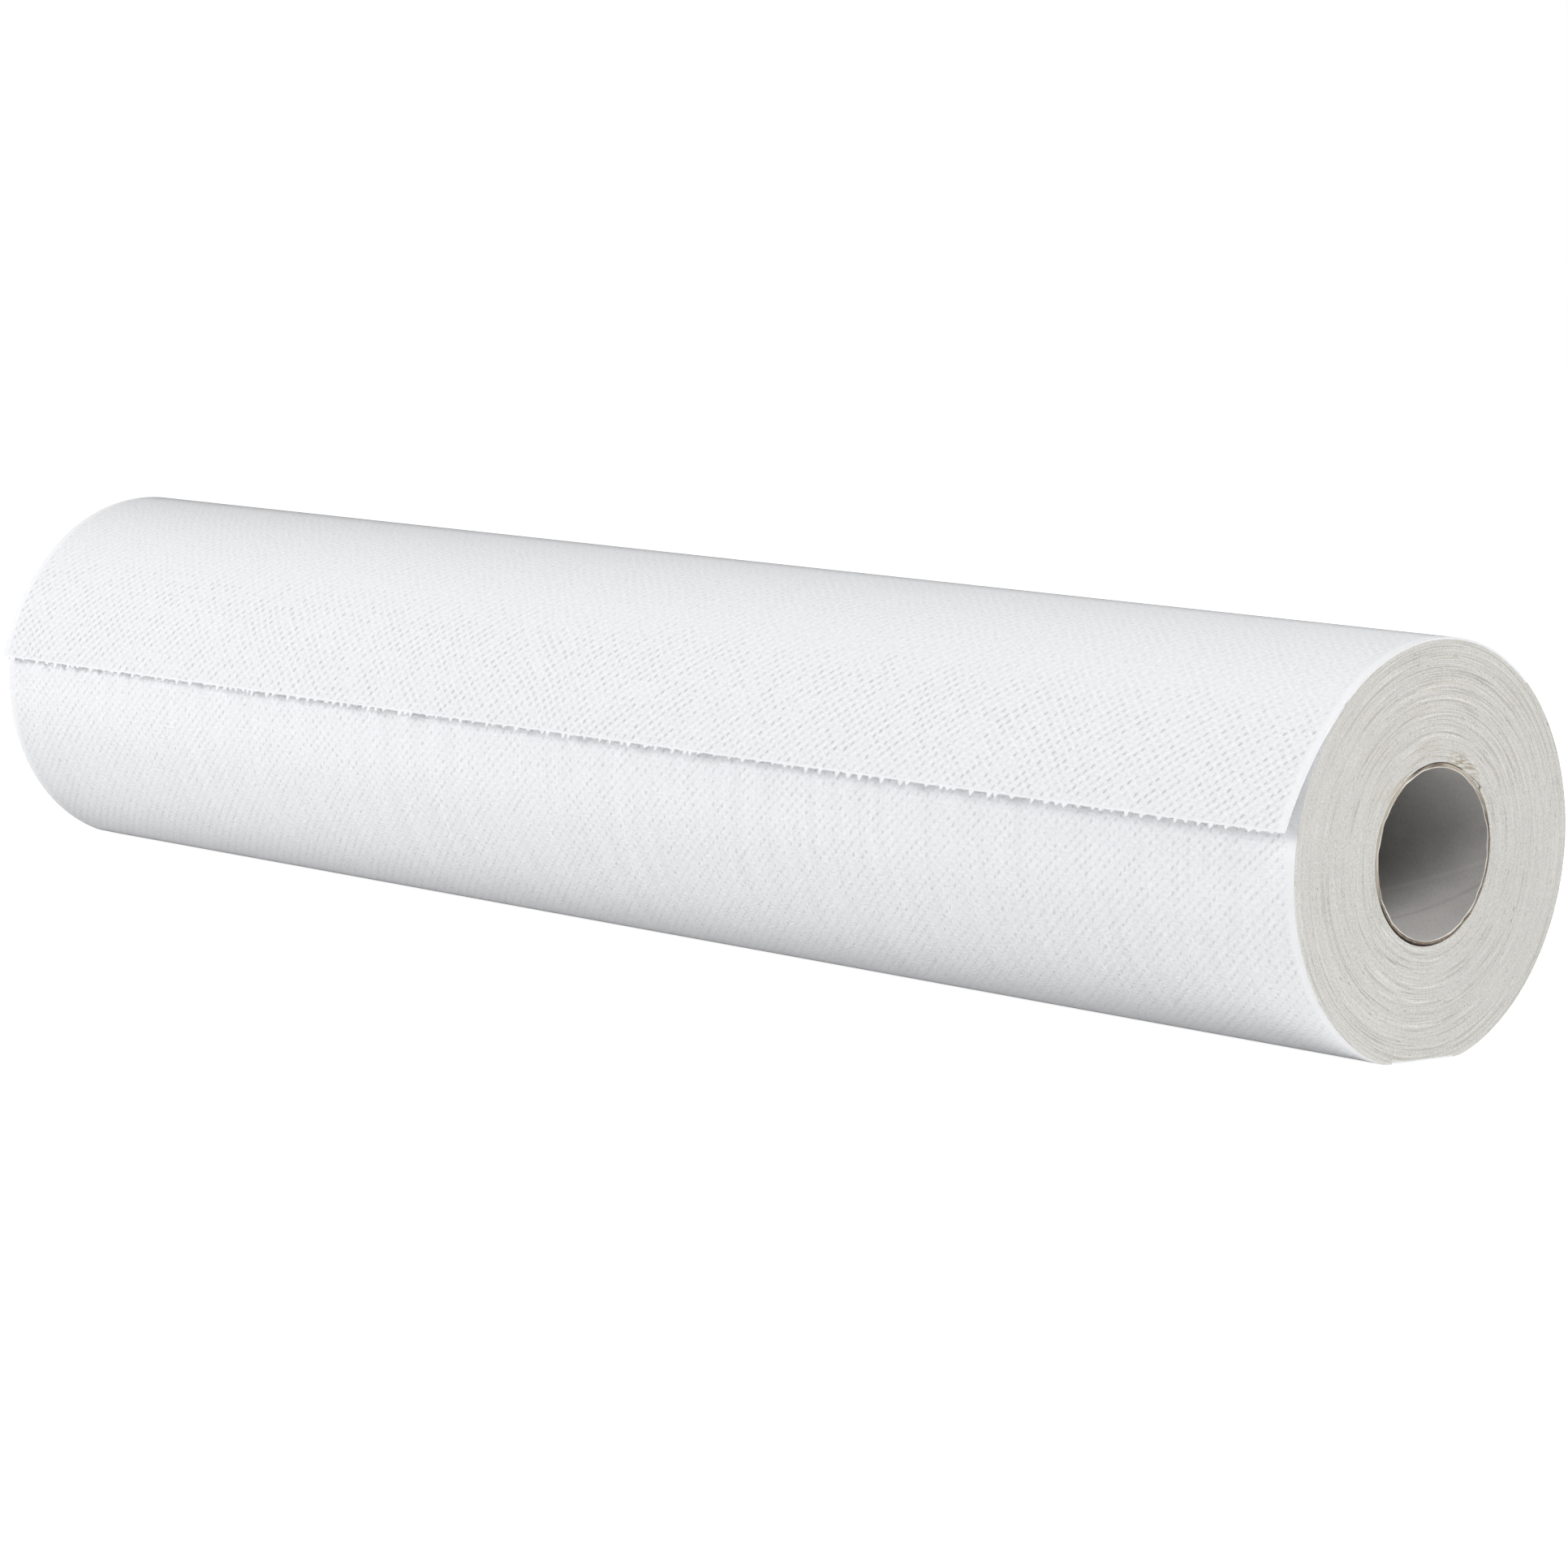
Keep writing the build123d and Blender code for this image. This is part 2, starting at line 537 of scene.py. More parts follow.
def useGroup(tree, group, inputs):
    node = tree.nodes.new("ShaderNodeGroup")
    node.node_tree = group
    for name, value in inputs.items():
        if isinstance(value, bpy.types.NodeSocket):
            tree.links.new(value, node.inputs[name])
        else:
            node.inputs[name].default_value = value
    return node.outputs


def makeMaterial(name, roughness):
    material = bpy.data.materials.new(name)
    material.use_nodes = True
    tree = material.node_tree
    shader = tree.nodes["Principled BSDF"]
    shader.inputs["Roughness"].default_value = roughness
    place = addNode(tree, "TexCoord", {}, {}).outputs["Object"]
    return material, tree, shader, place


def bumpFrom(tree, height, shader):
    # heights are in metres
    bump = addNode(tree, "Bump", {}, {"Strength": 1.0, "Distance": 1.0, "Height": height})
    tree.links.new(bump.outputs["Normal"], shader.inputs["Normal"])


# Shared patterns

ridgeMean = 0.375  # mean height of a ridge of the mesh, taken off so that it doesn't swell the sheet


def dotPattern():
    # rows of pressed dots, each row shifted by half a pitch, and the thin ridges between their
    # diagonals; the mask is 1 in a dot's middle
    tree, given, out = makeGroup(
        "pressed dots",
        [
            ("Along", "Float", 0.0),
            ("Run", "Float", 0.0),
            ("Pitch", "Float", 1.0),
            ("Row Pitch", "Float", 1.0),
            ("Dot Width", "Float", 0.3),
            ("Dot Length", "Float", 0.3),
            ("Slant", "Float", 0.0),
        ],
        [("Mask", "Float"), ("Luck", "Float"), ("Ridge", "Float"), ("Cross Ridge", "Float")],
    )
    across = maths(tree, "DIVIDE", given["Along"], given["Pitch"])
    up = maths(tree, "DIVIDE", given["Run"], maths(tree, "MULTIPLY", given["Row Pitch"], 2.0))
    first = maths(tree, "ADD", across, up)
    second = maths(tree, "SUBTRACT", across, up)
    firstCell = maths(tree, "ROUND", first)
    secondCell = maths(tree, "ROUND", second)
    firstPart = maths(tree, "SUBTRACT", first, firstCell)
    secondPart = maths(tree, "SUBTRACT", second, secondCell)
    acrossPart = maths(tree, "MULTIPLY", maths(tree, "ADD", firstPart, secondPart), 0.5)
    upPart = maths(tree, "MULTIPLY", maths(tree, "SUBTRACT", firstPart, secondPart), 0.5)
    acrossAway = maths(tree, "MULTIPLY", acrossPart, given["Pitch"])
    upAway = maths(tree, "MULTIPLY", upPart, maths(tree, "MULTIPLY", given["Row Pitch"], 2.0))
    leaned = maths(tree, "SUBTRACT", acrossAway, maths(tree, "MULTIPLY", upAway, given["Slant"]))
    wide = maths(tree, "DIVIDE", leaned, maths(tree, "MULTIPLY", given["Dot Width"], 0.5))
    tall = maths(tree, "DIVIDE", upAway, maths(tree, "MULTIPLY", given["Dot Length"], 0.5))
    wide = maths(tree, "MULTIPLY", wide, wide)
    tall = maths(tree, "MULTIPLY", tall, tall)
    away = maths(tree, "SQRT", maths(tree, "ADD", wide, tall))
    cell = addNode(tree, "CombineXYZ", {}, {0: firstCell, 1: secondCell}).outputs[0]
    luck = addNode(tree, "TexWhiteNoise", {"noise_dimensions": "2D"}, {"Vector": cell}).outputs[0]
    tree.links.new(remap(tree, away, 1.45, 0.35), out.inputs["Mask"])
    tree.links.new(luck, out.inputs["Luck"])
    for counted, label in ((first, "Ridge"), (second, "Cross Ridge")):
        wave = maths(tree, "COSINE", maths(tree, "MULTIPLY", counted, math.tau))
        raised = maths(tree, "MULTIPLY", maths(tree, "SUBTRACT", 1.0, wave), 0.5)
        raised = maths(tree, "MULTIPLY", raised, raised)
        tree.links.new(maths(tree, "SUBTRACT", raised, ridgeMean), out.inputs[label])
    return tree


def turnPattern():
    # place on a wound end: radius, angle, and a vector that stretches along the turns
    tree, given, out = makeGroup(
        "wound turns",
        [("Vector", "Vector", None), ("Stretch", "Float", 2.0), ("Turn Scale", "Float", 1000.0)],
        [("Radius", "Float"), ("Angle", "Float"), ("Stretched", "Vector")],
    )
    parts = addNode(tree, "SeparateXYZ", {}, {0: given["Vector"]}).outputs
    acrossSquare = maths(tree, "MULTIPLY", parts[1], parts[1])
    upSquare = maths(tree, "MULTIPLY", parts[2], parts[2])
    radius = maths(tree, "SQRT", maths(tree, "ADD", acrossSquare, upSquare))
    angle = maths(tree, "ARCTAN2", parts[2], parts[1])
    ringWise = maths(tree, "MULTIPLY", radius, given["Turn Scale"])
    acrossUnit = maths(tree, "MULTIPLY", maths(tree, "COSINE", angle), given["Stretch"])
    upUnit = maths(tree, "MULTIPLY", maths(tree, "SINE", angle), given["Stretch"])
    stretched = addNode(tree, "CombineXYZ", {}, {0: acrossUnit, 1: upUnit, 2: ringWise}).outputs[0]
    tree.links.new(radius, out.inputs["Radius"])
    tree.links.new(angle, out.inputs["Angle"])
    tree.links.new(stretched, out.inputs["Stretched"])
    return tree


def fibrePattern():
    # fine felted grain from -1 to 1, and slow cloudiness from 0 to 1
    tree, given, out = makeGroup(
        "felted fibres",
        [("Vector", "Vector", None), ("Fineness", "Float", 2500.0)],
        [("Grain", "Float"), ("Cloud", "Float")],
    )
    fine = noise(tree, given["Vector"], given["Fineness"], 3.0, 0.65)
    coarse = noise(tree, given["Vector"], maths(tree, "MULTIPLY", given["Fineness"], 0.08), 2.0)
    tree.links.new(remap(tree, fine, 0.25, 0.75, -1.0, 1.0), out.inputs["Grain"])
    tree.links.new(remap(tree, coarse, 0.3, 0.7), out.inputs["Cloud"])
    return tree


dots = dotPattern()
turns = turnPattern()
fibres = fibrePattern()


# Embossed tissue

tissueLook = {
    "between": (0.89, 0.895, 0.91, 1),
    "lit": (0.942, 0.949, 0.967, 1),  # below the torn edge, standing for light through the loose end
    # painted shade in the pressed dots, darker than the paper between them
    "pressed": (0.66, 0.665, 0.68, 1),
    "hem": (0.945, 0.95, 0.965, 1),  # the bare paper along the torn edge and the cut ends, painted brighter there as a highlight
    "limbShade": (0.52, 0.525, 0.535, 1),  # painted shade where the surface turns away from the view
    "pitch": 3.24 * mm,
    "rowPitch": 1.5 * mm,
    "dotWidth": 0.75 * mm,
    "dotLength": 1.3 * mm,
    "slant": 0.45,
    "depth": 0.14 * mm,
    "crispRun": 24 * mm,  # further back the turns have pressed the dots flatter
    "fadedRun": 40 * mm,
    "flattened": 0.3,
    "freshRun": 310 * mm,  # beyond here, under the loose end, they are clear again
    "freshFade": 90 * mm,
    "fresh": 0.6,
    "litRun": 325 * mm,
    "litFade": 25 * mm,
    "plainHem": 0.15 * mm,  # no dots this near the torn edge
    "hemFade": 0.5 * mm,
    "plainSide": 1.6 * mm,
    "sideFade": 1.5 * mm,
    "bareHemHighlight": (0.1 * mm, 0.6 * mm),
    "limbShadeShown": (0.84, 1.0, 0.0, 0.9),
    "fineness": 2600.0,
    "luckShown": (0.3, 1.1),  # strength of the faintest dot and of the clearest
    "cloudShown": (0.7, 1.0),
    "crepe": 0.05 * mm,
    "crepeShade": 0.055,
    "crepeScale": 1500.0,
    "crepeStretch": 0.55,
    "mesh": 0.03 * mm,
    "meshShade": 0.065,
    "meshLean": (0.35, 0.95),
    "meshLeanScale": 22.0,
    "meshShown": (0.15, 1.2),
    "meshScale": 330.0,
    "streak": 0.10 * mm,
    "streakScale": 160.0,
    "streakStretch": 0.08,
    "warp": 0.8 * mm,
    "warpScale": 35.0,
}


def tissueMaterial():
    look = tissueLook
    material, tree, shader, place = makeMaterial("embossed tissue", 0.95)
    run = addNode(tree, "Attribute", {"attribute_name": "sheetRun"}, {}).outputs["Fac"]
    parts = addNode(tree, "SeparateXYZ", {}, {0: place}).outputs
    drift = remap(tree, noise(tree, place, look["warpScale"]), 0.2, 0.8, -1.0, 1.0)
    drift = maths(tree, "MULTIPLY", drift, look["warp"])
    pressed = useGroup(tree, dots, {
        "Along": maths(tree, "ADD", parts[0], drift),
        "Run": maths(tree, "ADD", run, drift),
        "Pitch": look["pitch"],
        "Row Pitch": look["rowPitch"],
        "Dot Width": look["dotWidth"],
        "Dot Length": look["dotLength"],
        "Slant": look["slant"],
    })
    felt = useGroup(tree, fibres, {"Vector": place, "Fineness": look["fineness"]})

    # how clearly the dots show
    strength = remap(tree, run, look["crispRun"], look["fadedRun"], 1.0, look["flattened"])
    again = remap(tree, run, look["freshRun"] - look["freshFade"], look["freshRun"], 0.0, look["fresh"])
    strength = maths(tree, "MAXIMUM", strength, again)
    strength = maths(tree, "MULTIPLY", strength, remap(tree, pressed["Luck"], 0.0, 1.0, *look["luckShown"]))
    strength = maths(tree, "MULTIPLY", strength, remap(tree, felt["Cloud"], 0.0, 1.0, *look["cloudShown"]))
    hem = remap(tree, run, look["plainHem"], look["plainHem"] + look["hemFade"])
    side = maths(tree, "SUBTRACT", halfLength, maths(tree, "ABSOLUTE", parts[0]))
    side = remap(tree, side, look["plainSide"], look["plainSide"] + look["sideFade"])
    worked = maths(tree, "MULTIPLY", hem, side)
    mask = maths(tree, "MULTIPLY", maths(tree, "MULTIPLY", pressed["Mask"], strength), worked)

    # crepe lines lie along the roll; the mesh runs more strongly along one diagonal than the other
    shortened = maths(tree, "MULTIPLY", parts[0], look["crepeStretch"])
    sheetPlace = addNode(tree, "CombineXYZ", {}, {0: shortened, 1: run}).outputs[0]
    crepe = remap(tree, noise(tree, sheetPlace, look["crepeScale"], 3.0, 0.6), 0.3, 0.7, -1.0, 1.0)
    slope = remap(tree, noise(tree, place, look["meshLeanScale"], 1.0), 0.4, 0.6, *look["meshLean"])
    ridges = {"Factor": slope, 2: pressed["Ridge"], 3: pressed["Cross Ridge"]}
    mesh = addNode(tree, "Mix", {}, ridges).outputs[0]
    patchy = remap(tree, noise(tree, place, look["meshScale"], 2.0), 0.35, 0.65, *look["meshShown"])
    mesh = maths(tree, "MULTIPLY", mesh, patchy)
    mesh = maths(tree, "MULTIPLY", mesh, maths(tree, "MULTIPLY", worked, maths(tree, "ADD", strength, 0.3)))
    drawnOut = maths(tree, "MULTIPLY", run, look["streakStretch"])
    streakPlace = addNode(tree, "CombineXYZ", {}, {0: parts[0], 1: drawnOut}).outputs[0]
    streak = remap(tree, noise(tree, streakPlace, look["streakScale"], 1.0), 0.3, 0.7, -1.0, 1.0)

    lit = remap(tree, run, look["litRun"] - look["litFade"], look["litRun"])
    colour = blendColour(tree, lit, look["between"], look["lit"])
    # painted shade in the pressed dots
    colour = blendColour(tree, mask, colour, look["pressed"])
    # the crepe and the mesh ridges also shift the colour: painted shade and light of their relief
    tone = maths(tree, "ADD", maths(tree, "MULTIPLY", crepe, look["crepeShade"]), 1.0)
    tone = maths(tree, "ADD", tone, maths(tree, "MULTIPLY", mesh, look["meshShade"]))
    colour = addNode(tree, "VectorMath", {"operation": "SCALE"}, {0: colour, "Scale": tone}).outputs[0]
    # bare paper along the torn edge and the cut ends, with a painted highlight there
    field = maths(tree, "MULTIPLY", remap(tree, run, *look["bareHemHighlight"]), side)
    colour = blendColour(tree, field, look["hem"], colour)
    # painted shade towards the outline, where the surface turns away from the view
    facing = addNode(tree, "LayerWeight", {}, {"Blend": 0.5}).outputs["Facing"]
    colour = blendColour(tree, remap(tree, facing, *look["limbShadeShown"]), colour, look["limbShade"])
    tree.links.new(colour, shader.inputs["Base Color"])

    height = maths(tree, "MULTIPLY", mask, -look["depth"])
    height = maths(tree, "ADD", height, maths(tree, "MULTIPLY", crepe, look["crepe"]))
    height = maths(tree, "ADD", height, maths(tree, "MULTIPLY", mesh, look["mesh"]))
    height = maths(tree, "ADD", height, maths(tree, "MULTIPLY", streak, look["streak"]))
    bumpFrom(tree, height, shader)
    return material


# Cut edges of the wound sheet

edgeLook = {
    "paper": (0.695, 0.686, 0.655, 1),
    "shade": (0.485, 0.473, 0.435, 1),
    "light": (0.79, 0.782, 0.752, 1),
    "tint": (0.57, 0.512, 0.42, 1),
    "speck": (0.34, 0.29, 0.23, 1),
    # painted shade in the creases, tinted brown
    "crease": (0.36, 0.295, 0.18, 1),
    "lineScale": 2600.0,
    "lineDepth": 0.07 * mm,
    "grain": 0.03 * mm,
    "grainShade": 0.13,
    "creaseMiddle": 63.0,  # degrees, over the folded first edge
    "creaseHalf": (0.14, 0.36),  # radians from there to where the creases fade and end
    "creaseHeight": (2.2 * mm, 4.2 * mm),
    "stainHeight": (7 * mm, mm),
    "fineness": 2000.0,
    "stretch": (1.8, 1.6, 18.0),  # of the fine lines, the broad ones and the dashes
    "broadScale": 0.45,
    "dashScale": 1.3,
    "linesShown": (0.6, 1.0),  # beside the core, and above and below it
    "cloudShown": (0.6, 1.0),
    "stainShown": (0.4, 0.9),
    "specksShown": 0.75,
    "creasesShown": 0.8,
}


def edgeMaterial():
    look = edgeLook
    material, tree, shader, place = makeMaterial("wound edges", 0.97)
    scales = (1.0, look["broadScale"], look["dashScale"])
    fine, broad, dashes = (
        useGroup(tree, turns, {"Vector": place, "Stretch": stretch, "Turn Scale": scale * look["lineScale"]})
        for stretch, scale in zip(look["stretch"], scales)
    )
    felt = useGroup(tree, fibres, {"Vector": place, "Fineness": look["fineness"]})

    # the turns stand out most above and below the core, where the light from above rakes them: painted shade
    # in the dark lines between the turns and painted light on the brighter bands
    upright = maths(tree, "ABSOLUTE", maths(tree, "SINE", fine["Angle"]))
    shown = remap(tree, upright, 0.2, 0.95, *look["linesShown"])
    shown = maths(tree, "MULTIPLY", shown, remap(tree, felt["Cloud"], 0.0, 1.0, *look["cloudShown"]))
    lines = noise(tree, fine["Stretched"], 1.0, 2.0)
    groups = noise(tree, broad["Stretched"], 1.0, 1.0)
    dark = maths(tree, "MULTIPLY", remap(tree, lines, 0.52, 0.70), shown)
    bright = maths(tree, "MULTIPLY", remap(tree, groups, 0.54, 0.72), shown)
    colour = blendColour(tree, dark, look["paper"], look["shade"])
    colour = blendColour(tree, bright, colour, look["light"])

    # faint brown stains, most of them above the core
    upper = remap(tree, maths(tree, "SINE", fine["Angle"]), 0.0, 0.9, 0.15, 1.0)
    offCore = maths(tree, "SUBTRACT", fine["Radius"], firstTurnRadius)
    nearCore = remap(tree, offCore, *look["stainHeight"], *look["stainShown"])
    stain = remap(tree, noise(tree, broad["Stretched"], 1.4, 2.0), 0.52, 0.72)
    stain = maths(tree, "MULTIPLY", maths(tree, "MULTIPLY", upper, stain), nearCore)
    colour = blendColour(tree, stain, colour, look["tint"])
    specks = remap(tree, noise(tree, dashes["Stretched"], 1.0, 1.0), 0.68, 0.76)
    colour = blendColour(tree, maths(tree, "MULTIPLY", specks, look["specksShown"]), colour, look["speck"])

    # painted shade, tinted brown, in the creases over the folded first edge
    turned = maths(tree, "SUBTRACT", fine["Angle"], math.radians(look["creaseMiddle"]))
    beside = remap(tree, maths(tree, "ABSOLUTE", turned), *look["creaseHalf"], 1.0, 0.0)
    above = remap(tree, offCore, *look["creaseHeight"], 1.0, 0.0)
    outward = maths(tree, "MULTIPLY", fine["Radius"], 2300.0)
    slant = maths(tree, "ADD", maths(tree, "MULTIPLY", turned, 26.0), outward)
    lengthened = maths(tree, "MULTIPLY", turned, 6.0)
    creasePlace = addNode(tree, "CombineXYZ", {}, {0: slant, 1: lengthened}).outputs[0]
    crumpled = remap(tree, noise(tree, creasePlace, 1.0, 2.0), 0.46, 0.66)
    crease = maths(tree, "MULTIPLY", maths(tree, "MULTIPLY", beside, above), crumpled)
    crease = maths(tree, "MULTIPLY", crease, look["creasesShown"])
    colour = blendColour(tree, crease, colour, look["crease"])

    tone = maths(tree, "ADD", maths(tree, "MULTIPLY", felt["Grain"], look["grainShade"]), 1.0)
    colour = addNode(tree, "VectorMath", {"operation": "SCALE"}, {0: colour, "Scale": tone}).outputs[0]
    tree.links.new(colour, shader.inputs["Base Color"])
    height = maths(tree, "MULTIPLY", remap(tree, lines, 0.35, 0.7, 0.0, -1.0), look["lineDepth"])
    height = maths(tree, "ADD", height, maths(tree, "MULTIPLY", felt["Grain"], look["grain"]))
    bumpFrom(tree, height, shader)
    return material


# Board of the core

boardLook = {
    "liner": (0.87, 0.85, 0.80, 1),
    "pale": (0.52, 0.46, 0.38, 1),
    "board": (0.15, 0.115, 0.085, 1),
    "boardFibre": (0.36, 0.30, 0.235, 1),
    "gapShade": (0.05, 0.036, 0.026, 1),
    "darkMiddle": -60.0,  # degrees, where the brown board and the painted gap shadow show most on the rim
    "topMiddle": 102.0,
    "inside": (0.458, 0.445, 0.431, 1),
    "insideLight": (0.56, 0.545, 0.53, 1),
    "seamShade": (0.32, 0.31, 0.30, 1),
    "seam": (175 * mm, 0.508),  # how far it advances in one turn, and where it starts in turns
    "ridge": (330 * mm, 0.221),  # a raised edge under the liner, painted lighter along it as a highlight
    "grain": 0.015 * mm,
    "seamDepth": 0.10 * mm,
    "seamEdge": (0.007, 0.0015),  # turns from a line's middle to where it fades out and is full
    "seamShown": 0.5,
    "ridgeShown": 0.35,
    "cloudShown": 0.2,
    "boardFineness": 2500.0,
    "liningFineness": 1300.0,
    "linerShare": (0.2, 0.3),  # of the wall, from the bore out
    "gapShare": (0.72, 0.95),
}


def boardMaterial():
    # the core's cut rim: a pale liner inside brown-grey board
    look = boardLook
    material, tree, shader, place = makeMaterial("core board", 0.95)
    turned = useGroup(tree, turns, {"Vector": place, "Stretch": 3.0, "Turn Scale": 900.0})
    felt = useGroup(tree, fibres, {"Vector": place, "Fineness": look["boardFineness"]})
    share = maths(tree, "DIVIDE", maths(tree, "SUBTRACT", turned["Radius"], boreRadius), wall)
    stray = remap(tree, noise(tree, turned["Stretched"], 0.8, 2.0), 0.2, 0.8, -0.2, 0.2)
    share = maths(tree, "ADD", share, stray)
    below = maths(tree, "COSINE", maths(tree, "SUBTRACT", turned["Angle"], math.radians(look["darkMiddle"])))
    above = maths(tree, "COSINE", maths(tree, "SUBTRACT", turned["Angle"], math.radians(look["topMiddle"])))
    bare = maths(tree, "MAXIMUM", remap(tree, below, -0.35, 0.15), remap(tree, above, 0.92, 0.985))
    patchy = remap(tree, noise(tree, turned["Stretched"], 1.2, 2.0), 0.35, 0.55, 0.5, 1.0)
    bare = maths(tree, "MULTIPLY", bare, patchy)
    fibre = remap(tree, felt["Grain"], -0.5, 0.9)
    outer = blendColour(tree, bare, look["pale"], blendColour(tree, fibre, look["board"], look["boardFibre"]))
    colour = blendColour(tree, remap(tree, share, *look["linerShare"]), look["liner"], outer)
    # painted shadow of the gap between the core and the first turn, on the outer part of the rim
    deep = maths(tree, "MULTIPLY", remap(tree, share, *look["gapShare"]), bare)
    deep = maths(tree, "MULTIPLY", deep, remap(tree, noise(tree, turned["Stretched"], 0.5, 1.0), 0.4, 0.55))
    colour = blendColour(tree, deep, colour, look["gapShade"])
    tree.links.new(colour, shader.inputs["Base Color"])
    bumpFrom(tree, maths(tree, "MULTIPLY", felt["Grain"], look["grain"]), shader)
    return material


def spiralLine(tree, along, angle, lead, phase):
    advance = maths(tree, "ADD", maths(tree, "DIVIDE", along, lead), phase)
    spiral = maths(tree, "SUBTRACT", advance, maths(tree, "DIVIDE", angle, math.tau))
    away = maths(tree, "ABSOLUTE", maths(tree, "SUBTRACT", spiral, maths(tree, "ROUND", spiral)))
    return remap(tree, away, *boardLook["seamEdge"])


def linerMaterial():
    # the grey inside of the core, with the spiral seam of its strip
    look = boardLook
    material, tree, shader, place = makeMaterial("core liner", 0.8)
    angle = useGroup(tree, turns, {"Vector": place})["Angle"]
    felt = useGroup(tree, fibres, {"Vector": place, "Fineness": look["liningFineness"]})
    parts = addNode(tree, "SeparateXYZ", {}, {0: place}).outputs
    seam = spiralLine(tree, parts[0], angle, *look["seam"])
    ridge = spiralLine(tree, parts[0], angle, *look["ridge"])
    cloudy = maths(tree, "MULTIPLY", felt["Cloud"], look["cloudShown"])
    colour = blendColour(tree, cloudy, look["inside"], look["seamShade"])
    fibre = remap(tree, felt["Grain"], -0.9, 0.2, 0.3, 0.0)
    colour = blendColour(tree, fibre, colour, look["seamShade"])
    # painted highlight along the raised ridge
    colour = blendColour(tree, maths(tree, "MULTIPLY", ridge, look["ridgeShown"]), colour, look["insideLight"])
    colour = blendColour(tree, maths(tree, "MULTIPLY", seam, look["seamShown"]), colour, look["seamShade"])
    tree.links.new(colour, shader.inputs["Base Color"])
    height = maths(tree, "SUBTRACT", maths(tree, "MULTIPLY", ridge, 0.4), maths(tree, "MULTIPLY", seam, 0.6))
    height = maths(tree, "MULTIPLY", height, look["seamDepth"])
    height = maths(tree, "ADD", height, maths(tree, "MULTIPLY", felt["Grain"], look["grain"]))
    bumpFrom(tree, height, shader)
    return material


# Finishes

finish = {
    "floorBand": 0.4 * mm,  # faces this near the floor belong to the outermost turn
    "coreBand": 2 * mm,  # and these round the core show the cut edges
    "boreBand": 0.02 * mm,
    "smoothAngle": 40.0,
}

print("finishing the surfaces")
paper.data.materials.append(tissueMaterial())
paper.data.materials.append(edgeMaterial())
for face in paper.data.polygons:
    radius = face.center.yz.length
    onFloor = face.center.z < rollLow.z + finish["floorBand"]
    outermost = radius > roll["radius"] - 1.2 * roll["sheet"] or onFloor
    if (abs(face.normal.x) > 0.7 and not outermost) or radius < firstTurnRadius + finish["coreBand"]:
        face.material_index = 1
tube.data.materials.append(boardMaterial())
tube.data.materials.append(linerMaterial())
for face in tube.data.polygons:
    if face.center.yz.length < boreRadius + finish["boreBand"]:
        face.material_index = 1
for piece in (paper, tube):
    startFresh()
    piece.select_set(True)
    bpy.context.view_layer.objects.active = piece
    bpy.ops.object.shade_smooth_by_angle(angle=math.radians(finish["smoothAngle"]))

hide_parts("paper_roll")
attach(paper, "root")
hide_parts("core_tube")
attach(tube, "root")


# Floor, light and camera

print("setting the studio")
studio = {
    "floorSize": 60.0,
    "floorDrop": 0.02 * mm,
    "floorGrey": (0.82, 0.82, 0.82, 1),
    "floorGlow": 0.8,
    "floorBounce": 0.065,  # how much of its glow falls on the roll
    "whiteFrom": 0.3,  # metres from the roll's middle, where the floor starts to fade into the room
    "whiteAt": 0.8,
    "roomWhite": (1.0, 1.0, 1.0, 1),
    "roomStrength": 0.0,
    "lightDistance": 2.5,
    "lightSize": 1.6,
    # name, degrees from -Y towards +X, degrees up, watts
    "lights": (
        ("front", -40, 15, 30.8),
        ("front_high", -25, 20, 14.4),
        ("far_end", -90, 15, 6.2),
        ("near_end", 90, 45, 39.2),
        ("corner", 60, 50, 8.1),
        ("back", 150, 20, 12.2),
    ),
}
startFresh()
bpy.ops.mesh.primitive_plane_add(size=studio["floorSize"], location=(0, 0, rollLow.z - studio["floorDrop"]))
floor = takePiece("floor")
material, tree, shader, place = makeMaterial("white floor", 0.9)
shader.inputs["Base Color"].default_value = studio["floorGrey"]
shader.inputs["Emission Strength"].default_value = 1.0
away = addNode(tree, "VectorMath", {"operation": "LENGTH"}, {0: place}).outputs["Value"]
glow = remap(tree, away, studio["whiteFrom"], studio["whiteAt"], studio["floorGlow"], 1.0)
seen = addNode(tree, "LightPath", {}, {}).outputs["Is Camera Ray"]
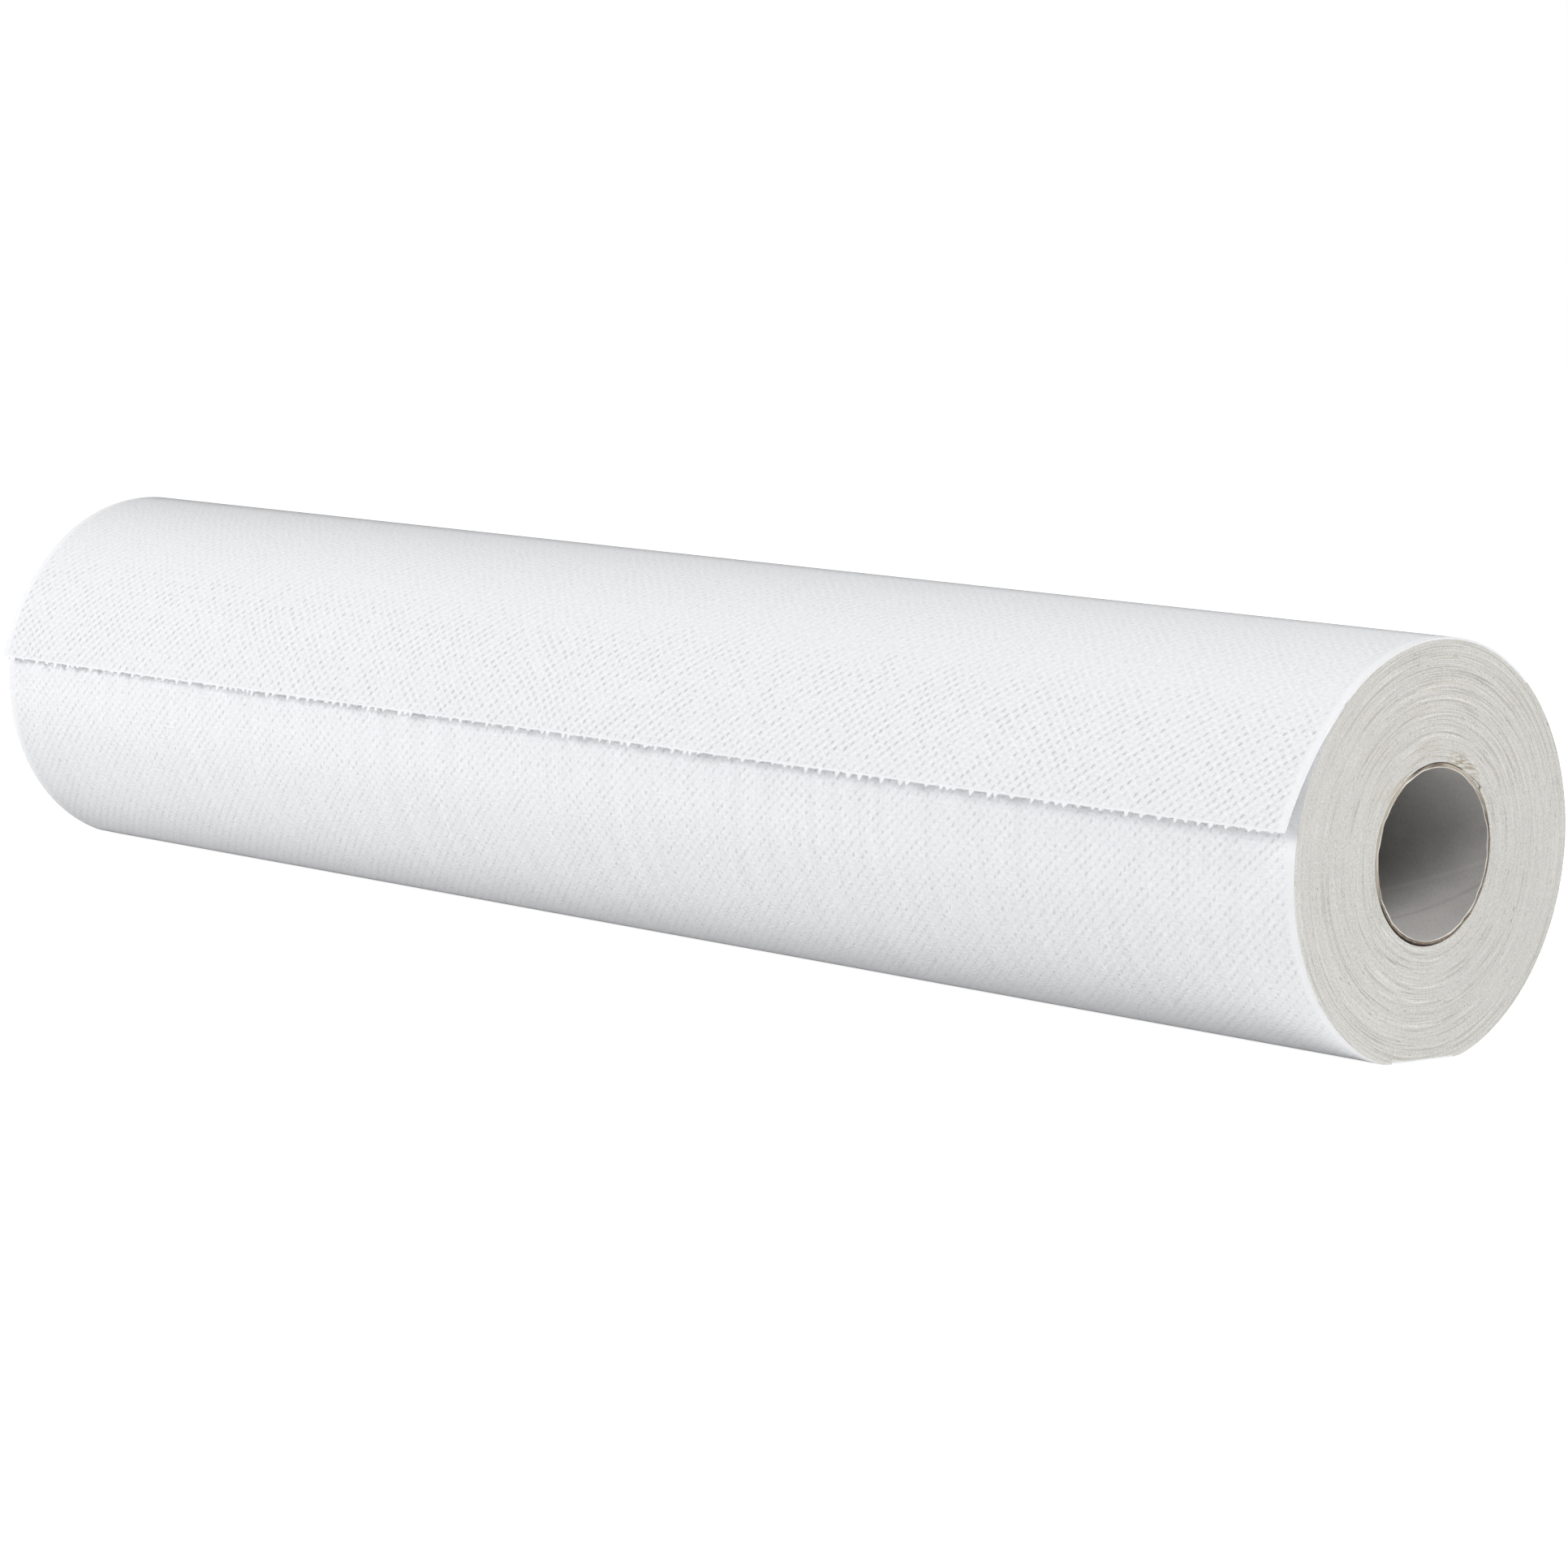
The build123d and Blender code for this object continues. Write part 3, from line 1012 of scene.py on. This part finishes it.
tree.links.new(remap(tree, seen, 0.0, 1.0, studio["floorBounce"], glow), shader.inputs["Emission Color"])
floor.data.materials.append(material)

world = bpy.data.worlds.new("white room")
bpy.context.scene.world = world
world.use_nodes = True
tree = world.node_tree
room = tree.nodes["Background"]
room.inputs["Color"].default_value = studio["roomWhite"]
seen = addNode(tree, "LightPath", {}, {}).outputs["Is Camera Ray"]
inputs = {"Value": seen, "To Min": studio["roomStrength"], "To Max": 1.0}
tree.links.new(addNode(tree, "MapRange", {}, inputs).outputs[0], room.inputs["Strength"])


def softbox(name, azimuth, height, power):
    azimuth, height = math.radians(azimuth), math.radians(height)
    level = math.cos(height)
    aim = Vector((math.sin(azimuth) * level, -math.cos(azimuth) * level, math.sin(height)))
    bpy.ops.object.light_add(type="AREA", location=aim * studio["lightDistance"])
    light = bpy.context.object
    light.name = name
    light.data.shape = "DISK"
    light.data.size = studio["lightSize"]
    light.data.energy = power
    light.rotation_euler = (-aim).to_track_quat("-Z", "Y").to_euler()


for name, azimuth, height, power in studio["lights"]:
    softbox(name, azimuth, height, power)

camera = {
    "place": (1.0148, -0.988, 0.1407),
    "yaw": 44.94,
    "pitch": -6.02,
    "roll": 2.57,
    "focalPixels": 6403,
    "framePixels": 1932,
    "sensor": 36.0,
}
yaw, pitch, lean = (math.radians(camera[name]) for name in ("yaw", "pitch", "roll"))
ahead = Vector((-math.sin(yaw) * math.cos(pitch), math.cos(yaw) * math.cos(pitch), math.sin(pitch)))
level = Vector((math.cos(yaw), math.sin(yaw), 0))
up = level.cross(ahead)
right = level * math.cos(lean) + up * math.sin(lean)
top = up * math.cos(lean) - level * math.sin(lean)
bpy.ops.object.camera_add()
eye = bpy.context.object
eye.name = "camera"
eye.data.sensor_width = camera["sensor"]
eye.data.lens = camera["focalPixels"] * camera["sensor"] / camera["framePixels"]
eye.matrix_world = Matrix.Translation(camera["place"]) @ Matrix((right, top, -ahead)).transposed().to_4x4()
bpy.context.scene.camera = eye
bpy.context.scene.view_settings.view_transform = "Standard"
